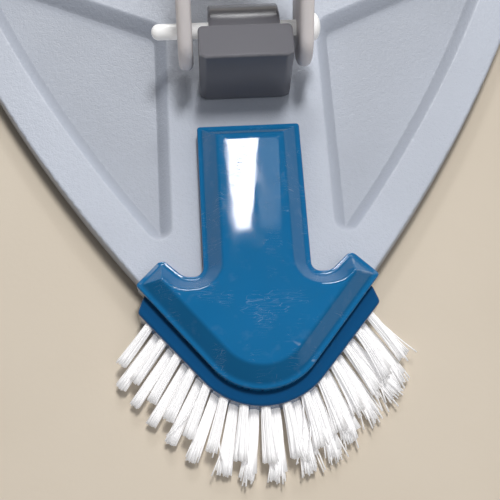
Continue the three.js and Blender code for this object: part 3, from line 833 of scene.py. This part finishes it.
def rod_ends(node):
    """The root and the tip of a tuft's rod, in millimetres."""
    spots = node_points(node)
    middle = spots.mean(0)
    direction = np.linalg.svd(spots - middle)[2][0]
    if direction[1] > 0:
        direction = -direction
    reach = (spots - middle) @ direction
    return middle + direction * reach.min(), middle + direction * reach.max()


FILAMENTS = 40
FILAMENT_RADIUS = 0.195
CORE_RADIUS = 0.85
TUFT_WIDE = 1.02
TUFT_THICK = 1.25
DROOP = 0.25
FLOOR_GAP = 0.25


def filament(bm, points, radius, sides=5):
    """A thin tube through the points with a cut end."""
    rings = []
    for i, point in enumerate(points):
        ahead = Vector(points[min(i + 1, len(points) - 1)]) - Vector(points[max(i - 1, 0)])
        side = ahead.cross(UP).normalized()
        above = side.cross(ahead).normalized()
        ring = []
        for k in range(sides):
            a = 2 * math.pi * k / sides
            ring.append(Vector(point) + (side * math.cos(a) + above * math.sin(a)) * radius)
        rings.append(ring)
    return loft(rings, bm)


def bundle_spots(count, rng):
    """Places in a unit disc, spread evenly as a sunflower's seeds."""
    golden = math.pi * (3 - math.sqrt(5))
    turn = rng.uniform(0, 6)
    for i in range(count):
        radius = math.sqrt((i + 0.5) / count)
        yield radius * math.cos(golden * i + turn), radius * math.sin(golden * i + turn)


def make_tuft(name, upper, rng):
    root, tip = rod_ends(name)
    root, tip = Vector(root), Vector(tip)
    ahead = (tip - root).normalized()
    side = ahead.cross(UP).normalized()
    above = side.cross(ahead).normalized()
    outer_left = np.clip((-root.x - 18) / 10, 0, 1)
    length = (tip - root).length - 1.0 - 1.6 * outer_left
    ragged = np.clip((root.x + 16) / 22, 0, 1)  # the right side is splayed, the left is tidy
    widen = 1.42 + ragged * rng.uniform(0.05, 0.3 if upper else 0.8)
    sway = rng.uniform(-1, 1) * (0.4 + 1.6 * ragged) + 1.2 * ragged * (0 if upper else 1)
    bm = bmesh.new()
    core = []
    for share in (0, 0.3, 0.6, 0.93):
        spot = root + ahead * (length * share) - above * (DROOP * share * share)
        spot.z = max(spot.z, CORE_RADIUS + FLOOR_GAP)
        core.append(spot)
    filament(bm, core, CORE_RADIUS, 8)
    for across, high in bundle_spots(FILAMENTS, rng):
        stray = rng.random() < 0.07 * ragged * (1 if upper else 1.8)
        loose = rng.gauss(0, 1) * (2.6 if stray else 0.12 + 0.25 * ragged)
        reach = length + rng.gauss(0, 0.18 + 0.5 * ragged * (not upper)) + (1.5 if stray else 0)
        points = []
        steps = 7
        for k in range(steps + 1):
            share = k / steps
            bend = share * share
            wide = TUFT_WIDE * (1 + (widen - 1) * share)
            thick = TUFT_THICK * (1 - 0.25 * share)
            spot = root + ahead * (reach * share)
            spot += side * (across * wide + (loose + sway) * bend)
            spot += above * (high * thick - DROOP * bend)
            spot.z = max(spot.z, FLOOR_GAP)
            points.append(spot)
        filament(bm, points, FILAMENT_RADIUS + rng.uniform(-0.012, 0.012))
    obj = link(f"{name}_filaments", bm)
    return finish_piece(obj, BRISTLE, "head", name)


def make_tufts():
    rng = random.Random(12)
    for name in sorted(frame["nodes"]):
        if name.startswith("tuft_"):
            make_tuft(name, "upper" in name, rng)


# ---- swivel knuckle ----


def make_knuckle():
    """A block with chamfered front corners, a rounded barrel behind it and a spigot in the plate."""
    low, high = PLATE_HIGH[2] + 0.3, KNUCKLE_HIGH[2]
    wide = KNUCKLE_HIGH[0]
    front_y, step_y, back_y = KNUCKLE_LOW[1], -2, KNUCKLE_HIGH[1]
    chamfer_x, chamfer_y = 1.7, 1.0
    plan = [(wide - chamfer_x, front_y), (wide, front_y + chamfer_y), (wide, step_y), (0, step_y)]
    right = rounded([(0, front_y), *plan], [0, 0.7, 0.7, 1.3, 0])
    outline = turned_ccw(resample(symmetric(right), 0.45))
    knuckle = link("knuckle_body", clean(slab(outline, low, high, 0.4, 0.25)))
    narrow = wide - 3
    radius = back_y - step_y
    crown = high - 1.5
    curve = arc((step_y, crown - radius), radius, 0, math.pi / 2, 24)[:-1]
    side = [(front_y + 3, low + 0.05), (back_y, low + 0.05), *curve, (front_y + 3, crown)]
    radii = [0.8, 0.8, *[0] * len(curve), 0.8]
    barrel_outline = turned_ccw(resample(rounded(side, radii), 0.5))
    barrel = moved(clean(slab(barrel_outline, -narrow, narrow, 0.6)), ALONG_X)
    combine(knuckle, link("knuckle_back", barrel), "UNION")
    spigot = lathe([(0, 4.7), (6.6, 4.7), (7, 5.1), (7, low + 1), (0, low + 1)], 64)
    combine(knuckle, link("knuckle_spigot", clean(spigot)), "UNION")
    evened(knuckle, 0.3, 3)
    return finish_piece(knuckle, KNUCKLE_GREY, "swivel", "knuckle")


# ---- fork ----

EAR_INSIDE = 14
EAR_OUTSIDE = box_mm("fork")[1][0]
EAR_RADIUS = 10.5
SLOT_SPRING = 14  # where the slot's arch starts
SLOT_TOP = 24
SOCKET_BOTTOM = 28
SOCKET_FLOOR = 38
SOCKET_TOP = 80
SOCKET_RADIUS = 14
SOCKET_BORE = 11


def fork_matrix():
    turn = Matrix.Rotation(-LEAN, 4, "X")
    return Matrix.Translation((0, 0, PIN_Z * MM)) @ turn


def ear(side):
    """One ear, a strap with a round end, from its pin up to the bridge."""
    end = arc((0, 0), EAR_RADIUS, math.pi, 2 * math.pi, 40)
    outline = resample(np.vstack([end, [(EAR_RADIUS, 30), (-EAR_RADIUS, 30)]]), 0.8)
    low, high = sorted((EAR_INSIDE * side, EAR_OUTSIDE * side))
    return moved(clean(slab(turned_ccw(outline), low, high, 1.75)), ALONG_X)


def yoke():
    """The arch that joins the ears and carries the socket, drawn from the front."""
    foot, shoulder, crown = 12, 22, SOCKET_FLOOR + 2
    outer = [(EAR_OUTSIDE, foot), (EAR_OUTSIDE, shoulder), (SOCKET_RADIUS - 1.5, crown), (0, crown)]
    right = rounded(outer, [0, 9, 5, 0])
    arch = arc((0, 0), 1, 0, math.pi, 30) * (EAR_INSIDE, SLOT_TOP - SLOT_SPRING) + (0, SLOT_SPRING)
    slot = np.vstack([[(EAR_INSIDE, foot)], arch, [(-EAR_INSIDE, foot)]])
    outline = np.vstack([right, mirror(right)[::-1], slot[::-1]])
    outline = turned_ccw(resample(outline, 0.8))
    return moved(clean(slab(outline, -EAR_RADIUS, EAR_RADIUS, 1.75)), ALONG_Y)


def socket():
    """The socket's tube with a bead at its mouth."""
    bead = SOCKET_RADIUS
    wall = SOCKET_RADIUS - 0.7
    profile = [(0, SOCKET_BOTTOM - 1), (SOCKET_RADIUS - 5, SOCKET_BOTTOM - 1), (wall, SOCKET_BOTTOM + 8)]
    profile += [(wall, SOCKET_TOP - 4.5), (bead, SOCKET_TOP - 3.8), (bead, SOCKET_TOP - 0.8)]
    profile += [(bead - 0.8, SOCKET_TOP), (SOCKET_BORE + 0.9, SOCKET_TOP), (SOCKET_BORE, SOCKET_TOP - 1)]
    profile += [(SOCKET_BORE, SOCKET_FLOOR), (0, SOCKET_FLOOR)]
    return lathe(profile, 96)


def make_fork():
    fork = link("fork_body", yoke())
    for side in (-1, 1):
        combine(fork, link("fork_ear", ear(side)), "UNION")
    combine(fork, link("fork_socket", clean(socket())), "UNION")
    mouth = SOCKET_TOP + 10
    bore = lathe([(0, SOCKET_FLOOR), (SOCKET_BORE, SOCKET_FLOOR), (SOCKET_BORE, mouth), (0, mouth)], 96)
    combine(fork, link("fork_bore", clean(bore)), "DIFFERENCE")
    evened(fork, 0.45, 6)
    fork.data.transform(fork_matrix())
    return finish_piece(fork, FORK_WHITE, "fork", "fork")


def make_pin():
    """A pin with a plain domed end on the left and a wider domed head on the right."""
    radius = 2.15
    head = 3.9
    edge = 0.2
    left, right = PIN_LOW[0], PIN_HIGH[0]
    seat = EAR_OUTSIDE + 0.3
    quarter = [i / 8 * math.pi / 2 for i in range(1, 9)]
    profile = [(0, left)]
    for a in quarter:
        profile.append((radius * math.sin(a), left + 1.9 * (1 - math.cos(a))))
    profile += [(radius, seat), (head - edge, seat), (head, seat + edge)]
    for a in quarter:
        profile.append((head * math.cos(a), seat + edge + (right - seat - edge) * math.sin(a)))
    profile[-1] = (0, right)
    bm = moved(clean(lathe(profile, 48)), ALONG_X)
    bm = moved(bm, fork_matrix())
    return finish_piece(link("pin_body", bm), PIN_WHITE, "fork", "fork_pin")


# ---- underside ----


def strip_place(node):
    """The matrix of a hook strip, from its CAD mesh: its centre, its turn, its length and width."""
    flat = node_points(node)[:, :2]
    centre = (flat.max(0) + flat.min(0)) / 2
    if node.endswith("front"):
        turn = math.pi / 2
    else:
        turn = REAR_ARM_ANGLE if node.endswith("right") else -REAR_ARM_ANGLE
    axis = np.array([math.cos(turn), math.sin(turn)])
    length = np.ptp(flat @ axis)
    width = np.ptp(flat @ np.array([-axis[1], axis[0]]))
    matrix = Matrix.Translation((centre[0] * MM, centre[1] * MM, 0)) @ Matrix.Rotation(turn, 4, "Z")
    return matrix, length, width


def add_hook(bm, x, y, tall):
    """A stem with a wider head, as on moulded hook tape."""
    rings = []
    for radius, z in ((0.14, tall), (0.12, 0.3), (0.3, 0.16), (0.2, 0.0)):
        spot = arc((x, y), radius, 0, 2 * math.pi, 6)[:-1]
        rings.append(flat_place(spot, z))
    loft([r[::-1] for r in rings], bm)


def make_strips():
    high = box_mm("hook_strip_front")[1][2]
    for node in ("hook_strip_front", "hook_strip_left", "hook_strip_right"):
        matrix, length, width = strip_place(node)
        x, y = length / 2, width / 2
        outline = rounded([(-x, -y), (x, -y), (x, y), (-x, y)], [3] * 4)
        bm = slab(turned_ccw(resample(outline, 0.8)), high - 0.5, high, 0.15)
        clean(bm)
        pitch = 1.5
        for i in range(int(length / pitch) - 1):
            for j in range(int(width / pitch) - 1):
                add_hook(bm, -x + pitch * (i + 1 + 0.5 * (j % 2)), -y + pitch * (j + 1), high - 0.45)
        obj = link(node.replace("hook_strip", "hook_tape"), moved(bm, matrix), smooth=False)
        finish_piece(obj, HOOK, "head", node)


def make_screw(node):
    """A pan head with a cross recess, seen from below, on its shank."""
    low, high = box_mm(node)
    x, y = (low[:2] + high[:2]) / 2
    radius = (high[0] - low[0]) / 2
    tall = 1.2
    profile = [(0, low[2] + 0.02), (radius * 0.55, low[2] + 0.05), (radius * 0.85, low[2] + 0.25)]
    profile += [(radius, low[2] + 0.7), (radius, low[2] + tall), (1.2, low[2] + tall)]
    turns = int((high[2] - low[2] - tall - 1) / 0.8)
    for i in range(turns):
        z = low[2] + tall + 0.8 * i
        profile += [(0.95, z + 0.25), (1.2, z + 0.5), (0.95, z + 0.75)]
    profile.append((0, high[2]))
    screw = link(node + "_body", clean(lathe(profile, 32)))
    for a in (0, math.pi / 2):
        bar = [(-1.5, -0.32), (1.5, -0.32), (1.5, 0.32), (-1.5, 0.32)]
        bm = loft([flat_place(np.array(bar), low[2] - 0.5), flat_place(np.array(bar) * 0.7, low[2] + 0.85)])
        combine(screw, link("recess", moved(clean(bm), Matrix.Rotation(a, 4, "Z"))), "DIFFERENCE")
    screw.data.transform(Matrix.Translation((x * MM, y * MM, 0)))
    return finish_piece(screw, STEEL, "head", node)


def dress_cad_nodes():
    """The bottom plate and the metal inside the head keep their CAD shapes."""
    dress(frame["nodes"]["bottom_plate"].data, COVER)
    for node in ("swivel_washer", "swivel_screw", "cap_screw_1", "cap_screw_2"):
        dress(frame["nodes"][node].data, STEEL)


# ---- stage ----


def make_floor():
    bm = bmesh.new()
    bmesh.ops.create_grid(bm, x_segments=8, y_segments=8, size=2.5)
    floor = link("floor", moved(bm, Matrix.Translation((0, 0, -0.0002))), smooth=False)
    floor.data.materials.append(floor_paint())


def area_light(name, at_mm, towards_mm, width, length, power, color=(1, 1, 1)):
    """A rectangular light, its place in millimetres, its sides in metres and its power in watts."""
    data = bpy.data.lights.new(name, "AREA")
    data.shape = "RECTANGLE"
    data.size = width
    data.size_y = length
    data.energy = power
    data.color = color
    light = bpy.data.objects.new(name, data)
    at, towards = Vector(at_mm) * MM, Vector(towards_mm) * MM
    light.location = at
    light.rotation_euler = (towards - at).to_track_quat("-Z", "Y").to_euler()
    bpy.context.scene.collection.objects.link(light)
    return light


def make_lights():
    """Soft lights that only light, strips and a panel that also show in the gloss, and a dim world."""
    key = area_light("key", (150, 430, 1500), (0, -40, 0), 0.25, 0.4, 17.5, (1.0, 0.99, 0.97))
    fill = area_light("fill", (600, -380, 1300), (0, -60, 0), 0.9, 0.9, 4, (0.97, 0.98, 1.0))
    front = area_light("front", (-150, -700, 450), (0, 0, 25), 0.4, 0.3, 0.5, (1.0, 0.99, 0.99))
    for lamp in (key, fill, front):
        lamp.visible_glossy = False
    mirrored_strip("strip", (13, 138, 326), (40, 364, 1022), 0.021, 1.45, (1.0, 0.965, 1.0))
    mirrored_strip("veil", (29, 138, 326), (72, 340, 960), 0.024, 0.08, (0.95, 0.98, 1.0))
    glow = area_light("glow", (-40, 900, 560), (0, -60, 15), 0.5, 0.45, 9)
    glow.visible_diffuse = False
    area_light("window", (-600, 240, 70), (0, -40, 15), 0.4, 0.06, 0.1, (1.0, 0.98, 1.0))
    area_light("rear", (60, 900, 750), (0, -40, 15), 0.16, 0.16, 2.4)
    world = bpy.data.worlds.new("studio")
    world.use_nodes = True
    background = world.node_tree.nodes["Background"]
    background.inputs["Color"].default_value = (0.93, 0.96, 1.0, 1)
    background.inputs["Strength"].default_value = 0.08
    bpy.context.scene.world = world


def mirrored_strip(name, near, far, width, power, color):
    """A narrow ceiling strip, placed where the cap's neck mirrors it, nearer at its back end."""
    near, far = Vector(near), Vector(far)
    middle = (near + far) / 2
    along = (far - near).normalized()
    facing = Vector((0, -45, 17)) - middle
    out = -(facing - along * facing.dot(along)).normalized()
    across = along.cross(out)
    strip = area_light(name, middle, (0, 0, 0), width, (far - near).length * MM, power, color)
    turn = Matrix((across, along, out)).transposed().to_4x4()
    strip.matrix_world = Matrix.Translation(middle * MM) @ turn


CAMERA_AT = Vector((-13.45, -152.47, 250))
CAMERA_TOWARDS = Vector((-1.04, -54.44, 0))
CAMERA_ROLL = -0.065
CAMERA_LENS = 70.885


def make_camera():
    """The photo's camera, fitted to points on the plate, the cap, the knuckle and the fork."""
    data = bpy.data.cameras.new("camera")
    data.sensor_width = 36
    data.lens = CAMERA_LENS
    data.clip_start = 0.01
    camera = bpy.data.objects.new("camera", data)
    look = (CAMERA_TOWARDS - CAMERA_AT).normalized()
    right = look.cross(Vector((0, 1, 0))).normalized()
    above = right.cross(look)
    turned_right = math.cos(CAMERA_ROLL) * right + math.sin(CAMERA_ROLL) * above
    turned_up = -math.sin(CAMERA_ROLL) * right + math.cos(CAMERA_ROLL) * above
    turn = Matrix((turned_right, turned_up, -look)).transposed().to_4x4()
    camera.matrix_world = Matrix.Translation(CAMERA_AT * MM) @ turn
    bpy.context.scene.collection.objects.link(camera)
    bpy.context.scene.camera = camera
    bpy.context.scene.view_settings.view_transform = "Standard"


make_camera()
make_floor()
make_lights()
make_top_shell()
make_strips()
make_cap()
make_block()
make_tufts()
make_knuckle()
make_fork()
make_pin()
for visible_screw in [f"shell_screw_{i + 1}" for i in range(5)] + list(BRUSH_SCREWS):
    make_screw(visible_screw)
dress_cad_nodes()
